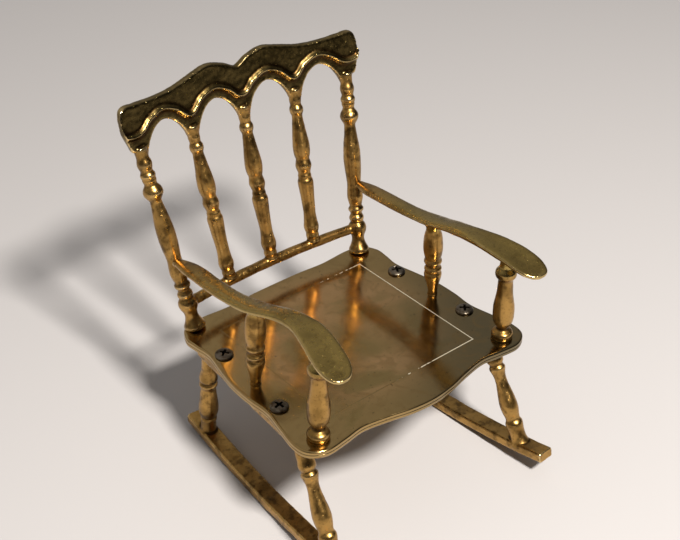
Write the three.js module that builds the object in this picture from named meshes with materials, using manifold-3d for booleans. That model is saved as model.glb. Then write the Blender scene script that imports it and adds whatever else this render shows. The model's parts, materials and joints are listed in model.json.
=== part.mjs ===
// Miniature rocking chair in cast brass: a Windsor-style armchair on two curved rockers.
// Millimetres, +Z up. The sitter faces -Y. Pieces are named left (-X) and right (+X) as seen from the front.
// Everything is modelled with the seat's top face at z = 0, then the whole chair is leaned back by
// REST_LEAN and set down, so that it stands on its rockers where it balances.
import * as THREE from 'three';
import { mergeVertices } from 'three/addons/utils/BufferGeometryUtils.js';
import Module from 'manifold-3d';

const wasm = await Module();
wasm.setup();

// ---- driving dimensions -------------------------------------------------------------------------
const GAP = 0.3;                 // clearance between pieces that meet
const ROUND = 10;                // facets round a turned piece

const SEAT_THICK = 2.4;
const SEAT_BEVEL = 0.45;
const PANEL = { right: 26, front: -38.7, back: 10.3 };  // rectangle scribed on the seat's top face
const SCRIBE_WIDE = 0.3;
const SCRIBE_DEEP = 0.2;

// The back is one gently bowed and raked surface: y at the middle, its rake, and its bow.
const BACK_Y = 17.9;
const BACK_RAKE = 0.248;         // mm back per mm up
const BACK_BOW = 2.16;           // how far the surface has come forward at BACK_BOW_X
const BACK_BOW_X = 32;

const POST_FOOT = new THREE.Vector3(30.6, 15.9, 0);
const POST_HEAD = new THREE.Vector3(35.6, 28.3, 53.0);
const SPINDLE_FOOT_X = 15.4;
const SPINDLE_HEAD_X = 17.8;
const RAIL_Z = 7.6;              // middle of the back's lower rail
const RAIL_HIGH = 2.6;
const RAIL_DEEP = 2.4;
const POST_AT_RAIL = 2.8;        // the post's radius where the rail meets it

const CREST_THICK = 1.9;
const CREST_NECK_Z = 52.8;       // where the spindles meet the crest rail
const CREST_END_X = 40.2;
const ARCH_TOP_Z = 58.8;
const ARCH_HALF = 7.3;
const ARCH_MIDDLES = [8.9, 26.6];

const MID_SUPPORT = { foot: new THREE.Vector3(32.5, -15.2, 0), head: new THREE.Vector3(31.5, -15.2, 26) };
const FRONT_SUPPORT = { foot: new THREE.Vector3(33.2, -42.9, 0), head: new THREE.Vector3(32.6, -42.9, 31) };

// Each side frame is a flat casting of a rocker, two legs and a bar. It stands on the line through the
// two seat screws of its side, so it toes in towards the back.
const FRAME_X = 31.9;
const FRAME_TOE_IN = THREE.MathUtils.degToRad(3.95);
const ROCKER_FRONT = -61;
const ROCKER_BACK = 20;
const ROCKER_MIDDLE = -16;       // lowest point along the rocker
const ROCKER_RADIUS = 256;       // of the rocker's top face
const ROCKER_TOP = -36.5;        // top face at its lowest point
const ROCKER_WIDE = 5.5;
const ROCKER_THICK = 3.0;
const BALANCE = new THREE.Vector3(0, -10.2, 3.6);  // the whole chair's centre of mass
const REST_LEAN = Math.atan((BALANCE.y - ROCKER_MIDDLE) / (ROCKER_TOP + ROCKER_RADIUS - BALANCE.z));
const BAR_FRONT = -37.5;
const BAR_BACK = 9.5;
const BAR_WIDE = 5.6;
const BAR_THICK = 3.0;
const BAR_TOP = -SEAT_THICK - GAP;
const BAR_FOOT = BAR_TOP - BAR_THICK;
const FRONT_LEG = { head: new THREE.Vector3(0, -37.2, BAR_FOOT), foot: new THREE.Vector3(0, -52.0, -35.5) };
const BACK_LEG = { head: new THREE.Vector3(0, 9.2, BAR_FOOT), foot: new THREE.Vector3(0, 12.2, -36.2) };

const SCREW_PLACES = [0, -27.4];  // along the side frame
const SCREW_HEAD = 5.2;
const SCREW_HEAD_HIGH = 1.2;
const SCREW_RECESS = { long: 3.4, wide: 0.8, deep: 0.9 };
const SCREW_SHANK = 2.4;
const SCREW_LENGTH = 5.4;
const SCREW_HOLE = SCREW_SHANK + 2 * GAP;
const STUD = 3.0;                // studs of the posts and supports
const STUD_HOLE = STUD + 2 * GAP;
const RIVET = 4.6;
const FOOT_TRIM = 1.5;           // extra length cut off level with the seat

// Turned shapes, as [height, radius] from the foot up.
const POST_PROFILE = [
  [0, 3.1], [1.0, 3.1], [1.9, 2.6], [3.4, 2.0], [4.4, 1.9], [5.1, 2.0], [6.1, 2.5], [7.4, 2.8], [8.6, 2.5],
  [9.4, 1.85], [9.9, 2.25], [10.9, 2.25], [11.4, 1.8], [12.2, 1.8], [12.7, 2.3], [13.5, 2.3], [14.0, 1.8],
  [14.8, 2.0], [16.6, 2.4], [18.6, 2.3], [20.2, 2.1], [22, 2.2], [25, 2.5], [28, 2.65], [31, 2.5], [34, 2.15],
  [37, 1.75], [38.2, 1.7], [39, 2.2], [40, 2.75], [40.8, 2.8], [41.8, 2.4], [42.6, 1.8], [43.3, 1.75],
  [43.7, 2.0], [44.2, 2.0], [44.5, 1.8], [44.9, 2.15], [45.7, 2.15], [46.2, 1.75], [46.8, 1.75], [47.5, 2.0],
  [48.4, 2.15], [49.2, 2.0], [50, 1.75], [51.4, 1.75], [53.0, 1.9],
];
const SPINDLE_PROFILE = [
  [8.6, 2.1], [9.6, 1.75], [10.2, 1.95], [10.9, 1.95], [11.4, 1.75], [12.0, 2.05], [13.3, 2.3], [14.7, 2.1],
  [16.8, 1.85], [19.2, 1.9], [22.4, 2.1], [25.3, 2.3], [26.9, 2.3], [27.5, 1.95], [28.2, 2.1], [28.8, 1.8],
  [29.8, 2.1], [31.0, 2.4], [32.3, 2.15], [33.0, 2.0], [34.1, 2.35], [35.8, 2.55], [38.4, 2.4], [41.6, 1.95],
  [44.2, 1.65], [45.4, 1.6], [46.1, 2.0], [47.4, 2.0], [48.0, 1.6], [48.8, 1.65], [49.6, 1.75], [50.4, 1.6],
  [52.6, 1.75],
];
const MID_SUPPORT_PROFILE = [
  [0, 1.6], [1.0, 1.4], [3.2, 1.7], [6.4, 2.5], [7.8, 2.6], [8.5, 2.2], [9.0, 2.55], [9.6, 2.55], [10.1, 2.1],
  [11.0, 2.1], [11.5, 2.6], [12.3, 2.6], [12.8, 2.3], [14.1, 2.6], [16.2, 2.85], [18.4, 2.85], [20.8, 2.6],
  [22.9, 2.1], [26, 1.9],
];
const FRONT_SUPPORT_PROFILE = [
  [0, 3.0], [1.4, 3.1], [2.2, 2.7], [2.9, 1.6], [3.5, 1.5], [4.3, 2.1], [5.6, 2.75], [8.0, 3.05], [11.2, 2.9],
  [14.4, 2.4], [17.6, 2.15], [19.8, 2.15], [20.4, 2.5], [21.1, 2.95], [22.3, 2.95], [23.1, 2.5], [23.8, 2.0],
  [26.2, 1.9], [28.5, 2.3], [31, 2.3],
];
const FRONT_LEG_PROFILE = [
  [0, 2.6], [2.4, 2.35], [4.4, 2.35], [5.6, 2.45], [6.6, 2.6], [7.5, 2.55], [8.2, 2.15], [9, 2.15],
  [10.6, 2.45], [12.2, 2.65], [13.4, 2.65], [15.6, 2.4], [18, 2.05], [20, 1.8], [21.8, 1.75], [23.4, 2],
  [24.6, 2.4], [25.3, 2.4], [25.8, 2], [26.4, 2], [26.9, 2.4], [28, 2.5], [29.2, 2.3], [33.5, 2.2],
];
const BACK_LEG_PROFILE = [
  [0, 2.5], [2, 2.35], [4.4, 2.35], [6.2, 2.5], [6.8, 2.15], [7.6, 2.6], [9.8, 2.95], [13, 2.75],
  [16.4, 2.35], [18.4, 2.15], [19.4, 2.65], [20.2, 2.65], [20.9, 2.2], [21.6, 2.7], [23.4, 2.5],
  [25.2, 2.1], [31, 2],
];

// ---- materials ----------------------------------------------------------------------------------
const brass = (colour, roughness) => new THREE.MeshStandardMaterial({ color: colour, roughness, metalness: 1 });
const CAST_BRASS = brass('#8f7136', 0.34);
const POLISHED_BRASS = brass('#a8804a', 0.2);
const DARK_STEEL = brass('#3a332b', 0.5);

// ---- solids -------------------------------------------------------------------------------------
function signedVolume(position, index) {
  const [a, b, c] = [new THREE.Vector3(), new THREE.Vector3(), new THREE.Vector3()];
  let volume = 0;
  for (let i = 0; i < index.length; i += 3) {
    a.fromBufferAttribute(position, index[i]);
    b.fromBufferAttribute(position, index[i + 1]);
    c.fromBufferAttribute(position, index[i + 2]);
    volume += a.dot(b.cross(c)) / 6;
  }
  return volume;
}

// One closed body with shared vertices, no slivers at its poles, and its faces pointing out.
function closedBody(geometry) {
  const bare = geometry.clone();
  bare.deleteAttribute('normal');
  bare.deleteAttribute('uv');
  const merged = mergeVertices(bare, 1e-4);
  const corners = Array.from(merged.index.array);
  const kept = [];
  for (let i = 0; i < corners.length; i += 3) {
    const [a, b, c] = corners.slice(i, i + 3);
    if (a !== b && b !== c && c !== a) {
      kept.push(a, b, c);
    }
  }
  if (signedVolume(merged.attributes.position, kept) < 0) {
    for (let i = 0; i < kept.length; i += 3) {
      [kept[i], kept[i + 1]] = [kept[i + 1], kept[i]];
    }
  }
  merged.setIndex(kept);
  return merged;
}

function toSolid(geometry) {
  const body = closedBody(geometry);
  return new wasm.Manifold(new wasm.Mesh({
    numProp: 3,
    vertProperties: new Float32Array(body.attributes.position.array),
    triVerts: new Uint32Array(body.index.array),
  }));
}

function toGeometry(solid) {
  const mesh = solid.getMesh();
  const geometry = new THREE.BufferGeometry();
  geometry.setAttribute('position', new THREE.BufferAttribute(mesh.vertProperties, 3));
  geometry.setIndex(new THREE.BufferAttribute(mesh.triVerts, 1));
  geometry.computeVertexNormals();
  return geometry;
}

function block(x0, x1, y0, y1, z0, z1) {
  const box = new THREE.BoxGeometry(x1 - x0, y1 - y0, z1 - z0);
  return box.translate((x0 + x1) / 2, (y0 + y1) / 2, (z0 + z1) / 2);
}

function rod(diameter, z0, z1, x = 0, y = 0) {
  const cylinder = new THREE.CylinderGeometry(diameter / 2, diameter / 2, z1 - z0, ROUND);
  return cylinder.rotateX(Math.PI / 2).translate(x, y, (z0 + z1) / 2);
}

// A solid of revolution about +Z from a [height, radius] profile.
function turned(profile) {
  const points = [new THREE.Vector2(0, profile[0][0])];
  for (const [height, radius] of profile) {
    points.push(new THREE.Vector2(radius, height));
  }
  points.push(new THREE.Vector2(0, profile.at(-1)[0]));
  return closedBody(new THREE.LatheGeometry(points, ROUND).rotateX(Math.PI / 2));
}

// The same, stretched to reach from foot to head.
function turnedBetween(profile, foot, head) {
  const reach = new THREE.Vector3().subVectors(head, foot);
  const lowest = profile[0][0];
  const stretch = reach.length() / (profile.at(-1)[0] - lowest);
  const fitted = profile.map(([height, radius]) => [(height - lowest) * stretch, radius]);
  const turn = new THREE.Quaternion().setFromUnitVectors(new THREE.Vector3(0, 0, 1), reach.normalize());
  return turned(fitted).applyQuaternion(turn).translate(foot.x, foot.y, foot.z);
}

// A body through closed rings of points, all with the same number of points, closed at both ends.
function loft(rings) {
  const around = rings[0].length;
  const points = rings.flat();
  const index = [];
  for (let i = 0; i + 1 < rings.length; i += 1) {
    for (let j = 0; j < around; j += 1) {
      const [a, b] = [i * around + j, i * around + (j + 1) % around];
      index.push(a, b, b + around, a, b + around, a + around);
    }
  }
  for (const [start, flip] of [[0, true], [(rings.length - 1) * around, false]]) {
    const middle = new THREE.Vector3();
    points.slice(start, start + around).forEach((point) => middle.add(point));
    points.push(middle.divideScalar(around));
    for (let j = 0; j < around; j += 1) {
      const [a, b] = [start + j, start + (j + 1) % around];
      index.push(points.length - 1, ...(flip ? [b, a] : [a, b]));
    }
  }
  const geometry = new THREE.BufferGeometry().setFromPoints(points);
  geometry.setIndex(index);
  return closedBody(geometry);
}

// A smooth curve through [position, value] pairs, read at any position.
function smoothThrough(pairs) {
  return (position) => {
    const after = pairs.findIndex(([at]) => at > position);
    const i = after < 0 ? pairs.length - 2 : Math.max(0, after - 1);
    const [[x0, y0], [x1, y1]] = [pairs[i], pairs[i + 1]];
    const [xBefore, yBefore] = pairs[i - 1] ?? pairs[i];
    const [xAfter, yAfter] = pairs[i + 2] ?? pairs[i + 1];
    const slope0 = (y1 - yBefore) / (x1 - xBefore);
    const slope1 = (yAfter - y0) / (xAfter - x0);
    const span = x1 - x0;
    const t = THREE.MathUtils.clamp((position - x0) / span, 0, 1);
    const [t2, t3] = [t * t, t * t * t];
    return (2 * t3 - 3 * t2 + 1) * y0 + (t3 - 2 * t2 + t) * span * slope0
      + (3 * t2 - 2 * t3) * y1 + (t3 - t2) * span * slope1;
  };
}

function backSurface(x, z) {
  return BACK_Y + BACK_RAKE * z - BACK_BOW * (x / BACK_BOW_X) ** 2;
}

// ---- seat ---------------------------------------------------------------------------------------
// Half of the serpentine outline, from the middle of the front edge round to the middle of the back.
const SEAT_OUTLINE = [
  [0, -50.6], [7.2, -49.9], [14.4, -48.2], [21.6, -47.0], [28, -47.8], [34.4, -48.2], [38.8, -45.6],
  [39.9, -40.8], [38.7, -33.6], [37.4, -26.4], [37.9, -19.2], [37.7, -11.2], [36.4, -4], [35.0, 3.2],
  [35.6, 8.6], [35.7, 13.3], [32.8, 17.8], [27.0, 18.8], [17.6, 18.2], [8.8, 18.8], [0, 18.9],
];

function seatShape() {
  const right = SEAT_OUTLINE.map(([x, y]) => new THREE.Vector2(x, y));
  const left = SEAT_OUTLINE.slice(1, -1).reverse().map(([x, y]) => new THREE.Vector2(-x, y));
  const loop = new THREE.CatmullRomCurve3(
    [...right, ...left].map(({ x, y }) => new THREE.Vector3(x, y, 0)), true, 'centripetal');
  return new THREE.Shape(loop.getPoints(110).slice(0, -1).map(({ x, y }) => new THREE.Vector2(x, y)));
}

function frameToSeat(side, along) {
  const x = side * (FRAME_X - along * Math.sin(FRAME_TOE_IN));
  return [x, along * Math.cos(FRAME_TOE_IN)];
}

function seat() {
  const plate = new THREE.ExtrudeGeometry(seatShape(), {
    depth: SEAT_THICK - 2 * SEAT_BEVEL,
    bevelThickness: SEAT_BEVEL,
    bevelSize: SEAT_BEVEL,
    bevelOffset: -SEAT_BEVEL,
    bevelSegments: 1,
    curveSegments: 1,
  }).translate(0, 0, SEAT_BEVEL - SEAT_THICK);
  let solid = toSolid(plate);
  for (const side of [-1, 1]) {
    for (const along of SCREW_PLACES) {
      const [x, y] = frameToSeat(side, along);
      solid = solid.subtract(toSolid(rod(SCREW_HOLE, -SEAT_THICK - 1, 1, x, y)));
    }
    for (const foot of [POST_FOOT, FRONT_SUPPORT.foot]) {
      solid = solid.subtract(toSolid(rod(STUD_HOLE, -SEAT_THICK - 1, 1, side * foot.x, foot.y)));
    }
    const blind = rod(STUD_HOLE - 1, -SEAT_THICK * 0.6, 1, side * MID_SUPPORT.foot.x, MID_SUPPORT.foot.y);
    solid = solid.subtract(toSolid(blind));
  }
  return toGeometry(solid.subtract(scribedLine()));
}

// The groove round the panel, which leaves the panel as a flat face of its own.
function scribedLine() {
  const panelBlock = (grown) => block(-PANEL.right - grown, PANEL.right + grown,
    PANEL.front - grown, PANEL.back + grown, -SCRIBE_DEEP, 1);
  const middle = toSolid(panelBlock(-SCRIBE_WIDE / 2).translate(0, 0, -1).scale(1, 1, 2));
  return toSolid(panelBlock(SCRIBE_WIDE / 2)).subtract(middle);
}

// ---- back ---------------------------------------------------------------------------------------
// A turned piece that stands on the seat: level underneath, with a stud that goes into the seat.
function standing(profile, foot, head, stud) {
  const reach = new THREE.Vector3().subVectors(head, foot).normalize();
  const lowered = foot.clone().addScaledVector(reach, -FOOT_TRIM);
  const body = turnedBetween([[-FOOT_TRIM, profile[0][1]], ...profile], lowered, head);
  const below = block(-10, 10, -10, 10, -20, GAP).translate(foot.x, foot.y, 0);
  let solid = toSolid(body).subtract(toSolid(below));
  for (const part of stud) {
    solid = solid.add(toSolid(part.translate(foot.x, foot.y, 0)));
  }
  return solid;
}

function rivetedStud() {
  const under = -SEAT_THICK - GAP;
  const rivet = turned([[under - 0.9, RIVET * 0.3], [under - 0.6, RIVET * 0.45], [under, RIVET / 2]]);
  return [rod(STUD, under - 0.2, FOOT_TRIM), rivet];
}

function blindStud() {
  return [rod(STUD - 1, -SEAT_THICK * 0.6 + GAP, FOOT_TRIM)];
}

function mirrored(point, side) {
  return new THREE.Vector3(side * point.x, point.y, point.z);
}

function backPost(side) {
  return toGeometry(standing(POST_PROFILE, mirrored(POST_FOOT, side), mirrored(POST_HEAD, side), rivetedStud()));
}

function backSpindle(x) {
  const footZ = RAIL_Z + RAIL_HIGH / 2 + GAP;
  const headZ = CREST_NECK_Z - GAP;
  const footX = x * SPINDLE_FOOT_X;
  const headX = x * SPINDLE_HEAD_X;
  const foot = new THREE.Vector3(footX, backSurface(footX, footZ), footZ);
  const head = new THREE.Vector3(headX, backSurface(headX, headZ), headZ);
  return turnedBetween(SPINDLE_PROFILE, foot, head);
}

function lowerRail() {
  const postX = THREE.MathUtils.lerp(POST_FOOT.x, POST_HEAD.x, RAIL_Z / POST_HEAD.z);
  const end = postX - POST_AT_RAIL - GAP;
  const steps = 16;
  const rings = [];
  for (let i = 0; i <= steps; i += 1) {
    const x = THREE.MathUtils.lerp(-end, end, i / steps);
    const ring = [];
    for (let j = 0; j < 8; j += 1) {
      const angle = (j + 0.5) * Math.PI / 4;
      const corner = 1.08;
      const z = RAIL_Z + Math.sin(angle) * RAIL_HIGH / 2 * corner;
      ring.push(new THREE.Vector3(x, backSurface(x, z) + Math.cos(angle) * RAIL_DEEP / 2 * corner, z));
    }
    rings.push(ring);
  }
  return loft(rings);
}

// The crest rail's top edge: two humps either side of a notch, and square shoulders at the ends.
const crestTop = smoothThrough([
  [-1, 65.9], [0, 65.3], [4, 67.2], [9.3, 68.4], [14, 67.6], [21.5, 65.9], [28, 65.5], [35, 65.9],
  [38.2, 66.1], [39.7, 65.2], [CREST_END_X, 63.6],
]);
// The bead that follows the arches, low over every spindle and post and high over every arch.
const crestBead = smoothThrough([
  [-2, 57.5], [0, 56.9], [3.2, 59.4], [8.9, 61.8], [14.2, 60.2], [17.8, 57.0], [21.2, 59.2], [26.6, 61.7],
  [31.6, 60.2], [35.4, 57.8], [CREST_END_X, 58.4],
]);

function crestBottom(x) {
  const stubEnd = CREST_END_X - 1.8;
  if (x > stubEnd) {
    return THREE.MathUtils.lerp(CREST_NECK_Z + 1, 59, (x - stubEnd) / (CREST_END_X - stubEnd));
  }
  for (const middle of ARCH_MIDDLES) {
    const across = Math.abs(x - middle) / ARCH_HALF;
    if (across < 1) {
      return CREST_NECK_Z + (ARCH_TOP_Z - CREST_NECK_Z) * (1 - across ** 1.7) ** 0.75;
    }
  }
  return x < ARCH_MIDDLES[1] ? CREST_NECK_Z : CREST_NECK_Z + 1;
}

function crestRail() {
  const half = CREST_THICK / 2;
  const [beadWide, beadProud, bevel] = [0.85, 0.55, 0.3];
  const steps = 88;
  const rings = [];
  for (let i = 0; i <= steps; i += 1) {
    const x = THREE.MathUtils.lerp(-CREST_END_X, CREST_END_X, i / steps);
    const at = Math.abs(x);
    const [top, bottom] = [crestTop(at), crestBottom(at)];
    const bead = Math.max(crestBead(at), bottom + beadWide + 0.3);
    const ring = [
      [half, bottom], [half, top - bevel], [half - bevel, top], [-half + bevel, top], [-half, top - bevel],
      [-half, bead + beadWide], [-half - beadProud, bead + 0.3], [-half - beadProud, bead - 0.3],
      [-half, bead - beadWide], [-half, bottom],
    ];
    rings.push(ring.map(([offset, z]) => new THREE.Vector3(x, backSurface(x, z) + offset, z)));
  }
  return loft(rings);
}

// ---- arms ---------------------------------------------------------------------------------------
// Along the arm from its front tip at y = -54.7 back to the post: middle line, top face and width.
const armMiddle = smoothThrough([
  [-54.7, 34.2], [-46.4, 33.1], [-40, 31.8], [-33.6, 31.0], [-27.2, 31.1], [-20.8, 31.9], [-14.4, 32.4],
  [0, 32.7], [12, 32.6], [19.2, 33.0],
]);
const armTop = smoothThrough([
  [-54.7, 26.9], [-49.6, 28.9], [-43.2, 30.7], [-36.8, 31.4], [-30.4, 30.7], [-24, 29.0], [-17.6, 26.9],
  [-11.2, 25.3], [-4.8, 24.3], [1.6, 23.8], [8, 23.6], [14.4, 23.2], [19.2, 22.6],
]);
const armWidth = smoothThrough([
  [-47, 9.5], [-43, 9.2], [-38, 8.2], [-33.6, 6.9], [-28, 5.9], [-20, 5.8], [-14.4, 6.3], [-8, 5.7],
  [8, 5.6], [13, 5.3], [17.2, 3.6], [17.8, 3.2],
]);
const ARM_FRONT = -54.7;
const ARM_NOSE = 7.7;            // length of the rounded tip
const ARM_NOSE_FULL = 2.4;       // 2 makes the tip an ellipse, more makes it blunter
const ARM_DISH = 0.7;            // how deep the paddle is scooped
const armThick = smoothThrough([
  [-54.7, 2.4], [-44, 3.0], [-32, 3.0], [-22, 2.4], [-12, 2.0], [19.2, 2.0],
]);
const ARM_JOIN_Z = 22;           // height where the arm meets the post
const POST_AT_ARM = 2.3;         // the post's radius there

function arm(side) {
  const postAt = (z) => THREE.MathUtils.lerp(POST_FOOT.y, POST_HEAD.y, z / POST_HEAD.z);
  const back = postAt(ARM_JOIN_Z) - POST_AT_ARM - GAP;
  const stations = [];
  for (let i = 0; i < 7; i += 1) {
    stations.push(ARM_FRONT + ARM_NOSE * (1 - Math.cos(Math.PI / 2 * (0.12 + 0.88 * i / 7))));
  }
  for (let i = 0; i <= 18; i += 1) {
    stations.push(THREE.MathUtils.lerp(ARM_FRONT + ARM_NOSE, back, i / 18));
  }
  const rings = stations.map((y) => {
    const intoNose = THREE.MathUtils.clamp((y - ARM_FRONT) / ARM_NOSE, 0, 1);
    const nose = (1 - (1 - intoNose) ** ARM_NOSE_FULL) ** (1 / ARM_NOSE_FULL);
    const half = nose * armWidth(y) / 2;
    const dish = ARM_DISH * THREE.MathUtils.smoothstep(-y, 24, 40) * nose;
    const thick = armThick(y) * (0.45 + 0.55 * nose);
    const outline = [
      [-0.92, -0.1], [-0.5, -0.1 - 0.75 * dish], [0, -dish - 0.1], [0.5, -0.1 - 0.75 * dish], [0.92, -0.1],
      [1, -0.35 * thick], [0.94, -0.8 * thick], [0.55, -thick], [-0.55, -thick],
      [-0.94, -0.8 * thick], [-1, -0.35 * thick],
    ];
    return outline.map(([across, down]) => new THREE.Vector3(
      side * armMiddle(y) + across * half, y, armTop(y) + down));
  });
  return loft(rings);
}

// Cut off under the arm by lifting the arm's own shape through everything above it.
function armSupport(side, profile, { foot, head }, stud) {
  let solid = standing(profile, mirrored(foot, side), mirrored(head, side), stud);
  const thick = armThick(foot.y);
  for (let lift = -GAP; lift < head.z - armTop(foot.y) + 2 * thick; lift += thick / 2) {
    solid = solid.subtract(toSolid(arm(side).translate(0, 0, lift)));
  }
  return toGeometry(solid);
}

// ---- side frames: rocker, legs and bar, with x = 0 on the frame's own plane ----------------------
function rockerTopAt(along) {
  return ROCKER_TOP + ROCKER_RADIUS - Math.sqrt(ROCKER_RADIUS ** 2 - (along - ROCKER_MIDDLE) ** 2);
}

function rocker(grown = 0) {
  const steps = 26;
  const rings = [];
  const half = ROCKER_WIDE / 2 + grown;
  const [high, low] = [grown, -ROCKER_THICK - grown];
  const edge = 0.5;
  const outline = [
    [-half + edge, high], [half - edge, high], [half, high - edge], [half, low + edge],
    [half - edge, low], [-half + edge, low], [-half, low + edge], [-half, high - edge],
  ];
  for (let i = 0; i <= steps; i += 1) {
    const along = THREE.MathUtils.lerp(ROCKER_FRONT, ROCKER_BACK, i / steps);
    const lean = (along - ROCKER_MIDDLE) / ROCKER_RADIUS;
    rings.push(outline.map(([x, up]) => new THREE.Vector3(
      x, along - up * Math.sin(lean), rockerTopAt(along) + up * Math.cos(lean))));
  }
  return loft(rings);
}

function leg(profile, { head, foot }) {
  const body = toSolid(turnedBetween(profile, foot, head.clone().lerp(foot, -0.05)));
  const above = toSolid(block(-10, 10, -80, 40, BAR_FOOT - GAP, 10));
  const below = toSolid(rocker(GAP)).add(toSolid(block(-10, 10, -80, 40, -60, ROCKER_TOP - 0.5)));
  return toGeometry(body.subtract(above).subtract(below));
}

function bar() {
  const outline = new THREE.Shape();
  const half = BAR_WIDE / 2;
  outline.moveTo(half, BAR_FRONT);
  outline.lineTo(half, BAR_BACK);
  outline.absarc(0, BAR_BACK, half, 0, Math.PI);
  outline.lineTo(-half, BAR_FRONT);
  outline.absarc(0, BAR_FRONT, half, Math.PI, 2 * Math.PI);
  const plate = new THREE.ExtrudeGeometry(outline, { depth: BAR_THICK, bevelEnabled: false, curveSegments: 6 });
  let solid = toSolid(plate.translate(0, 0, BAR_FOOT));
  for (const along of SCREW_PLACES) {
    solid = solid.subtract(toSolid(rod(SCREW_HOLE, BAR_FOOT - 1, BAR_TOP + 1, 0, along)));
  }
  return toGeometry(solid);
}

// ---- seat screws: cross-recessed pan heads --------------------------------------------------------
function seatScrew(turn) {
  const radius = SCREW_HEAD / 2;
  const top = GAP + SCREW_HEAD_HIGH;
  const head = turned([[GAP, radius], [GAP + 0.5, radius], [GAP + 1.0, radius * 0.86], [top, radius * 0.5]]);
  let solid = toSolid(head).add(toSolid(rod(SCREW_SHANK, -SCREW_LENGTH, GAP + 0.2)));
  const { long, wide, deep } = SCREW_RECESS;
  for (const angle of [turn, turn + Math.PI / 2]) {
    const slot = block(-long / 2, long / 2, -wide / 2, wide / 2, top - deep, top + 1);
    solid = solid.subtract(toSolid(slot.rotateZ(angle)));
  }
  return toGeometry(solid);
}

// ---- the chair ------------------------------------------------------------------------------------
function piece(name, geometry, material) {
  const mesh = new THREE.Mesh(geometry, material);
  mesh.name = name;
  return mesh;
}

function sideFrame(side, label) {
  const frame = new THREE.Group();
  frame.add(piece(`rocker_${label}`, rocker(), CAST_BRASS));
  frame.add(piece(`leg_front_${label}`, leg(FRONT_LEG_PROFILE, FRONT_LEG), CAST_BRASS));
  frame.add(piece(`leg_back_${label}`, leg(BACK_LEG_PROFILE, BACK_LEG), CAST_BRASS));
  frame.add(piece(`side_bar_${label}`, bar(), CAST_BRASS));
  SCREW_PLACES.forEach((along, i) => {
    const screw = piece(`seat_screw_${['back', 'front'][i]}_${label}`, seatScrew(0.5 + i + side), DARK_STEEL);
    screw.position.y = along;
    frame.add(screw);
  });
  frame.position.x = side * FRAME_X;
  frame.rotation.z = side * FRAME_TOE_IN;
  return frame;
}

const leaned = new THREE.Group();
leaned.add(piece('seat', seat(), POLISHED_BRASS));
leaned.add(piece('crest_rail', crestRail(), CAST_BRASS));
leaned.add(piece('back_lower_rail', lowerRail(), CAST_BRASS));
for (const [x, label] of [[-1, 'left'], [0, 'middle'], [1, 'right']]) {
  leaned.add(piece(`back_spindle_${label}`, backSpindle(x), CAST_BRASS));
}
for (const [side, label] of [[-1, 'left'], [1, 'right']]) {
  leaned.add(piece(`back_post_${label}`, backPost(side), CAST_BRASS));
  leaned.add(piece(`arm_${label}`, arm(side), CAST_BRASS));
  leaned.add(piece(`arm_support_mid_${label}`,
    armSupport(side, MID_SUPPORT_PROFILE, MID_SUPPORT, blindStud()), CAST_BRASS));
  leaned.add(piece(`arm_support_front_${label}`,
    armSupport(side, FRONT_SUPPORT_PROFILE, FRONT_SUPPORT, rivetedStud()), CAST_BRASS));
  leaned.add(sideFrame(side, label));
}
leaned.rotation.x = -REST_LEAN;

// Set down with the bottom of the chair's bounding box centred on the origin.
const chair = new THREE.Group();
chair.add(leaned);
chair.updateMatrixWorld(true);
const box = new THREE.Box3().setFromObject(chair, true);
leaned.position.y = -(box.min.y + box.max.y) / 2;
leaned.position.z = -box.min.z;

export default chair;
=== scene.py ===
"""Miniature rocking chair in aged cast brass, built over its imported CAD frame.

The castings (back, arms, side frames) are each fused from their members into one skin with soft joints.
They are drawn in millimetres with the seat's top face at z = 0, and placed from the frame's seat mount.
The sitter faces -Y. Pieces are named left (-X) and right (+X) as seen from the front.
"""

import json
import math

import bpy
import numpy as np
from mathutils import Matrix, Vector, noise


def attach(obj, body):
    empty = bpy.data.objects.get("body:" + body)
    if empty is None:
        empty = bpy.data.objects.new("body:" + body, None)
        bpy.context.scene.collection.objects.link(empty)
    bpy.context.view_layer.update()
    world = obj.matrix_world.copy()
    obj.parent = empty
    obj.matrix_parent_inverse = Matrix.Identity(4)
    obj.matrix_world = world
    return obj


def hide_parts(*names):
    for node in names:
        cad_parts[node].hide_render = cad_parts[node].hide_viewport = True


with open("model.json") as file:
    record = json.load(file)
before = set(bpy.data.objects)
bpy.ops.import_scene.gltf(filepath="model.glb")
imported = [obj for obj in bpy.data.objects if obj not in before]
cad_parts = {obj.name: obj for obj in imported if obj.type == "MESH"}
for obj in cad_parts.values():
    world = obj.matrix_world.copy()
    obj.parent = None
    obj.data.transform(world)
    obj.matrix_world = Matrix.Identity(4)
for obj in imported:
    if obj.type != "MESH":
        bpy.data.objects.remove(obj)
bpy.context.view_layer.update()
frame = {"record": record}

MM = 0.001

# ---- driving dimensions, in millimetres -----------------------------------------------------------
SEAT_MOUNT_Y = -16.0             # the seat mount's place along the seat
SEAT_THICK = 2.4
PANEL = {"right": 26.0, "front": -38.7, "back": 10.3}  # rectangle scribed on the seat's top face
SCRIBE_WIDE = 0.32
SCRIBE_FLOOR = 0.08              # width of the scribed line's flat bottom
SCRIBE_DEEP = 0.03

# The back is one gently bowed and raked surface: y at the middle, its rake, and its bow.
BACK_Y = 17.9
BACK_RAKE = 0.248                # mm back per mm up
BACK_BOW = 2.16                  # how far the surface has come forward at BACK_BOW_X
BACK_BOW_X = 32.0

POST_FOOT = Vector((30.6, 15.9, 0.0))
POST_HEAD = Vector((35.6, 28.3, 53.0))
SPINDLE_FOOT_X = 15.4
SPINDLE_HEAD_X = 17.8
RAIL_Z = 7.6                     # middle of the back's lower rail
RAIL_HIGH = 2.6
RAIL_DEEP = 2.4

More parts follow.
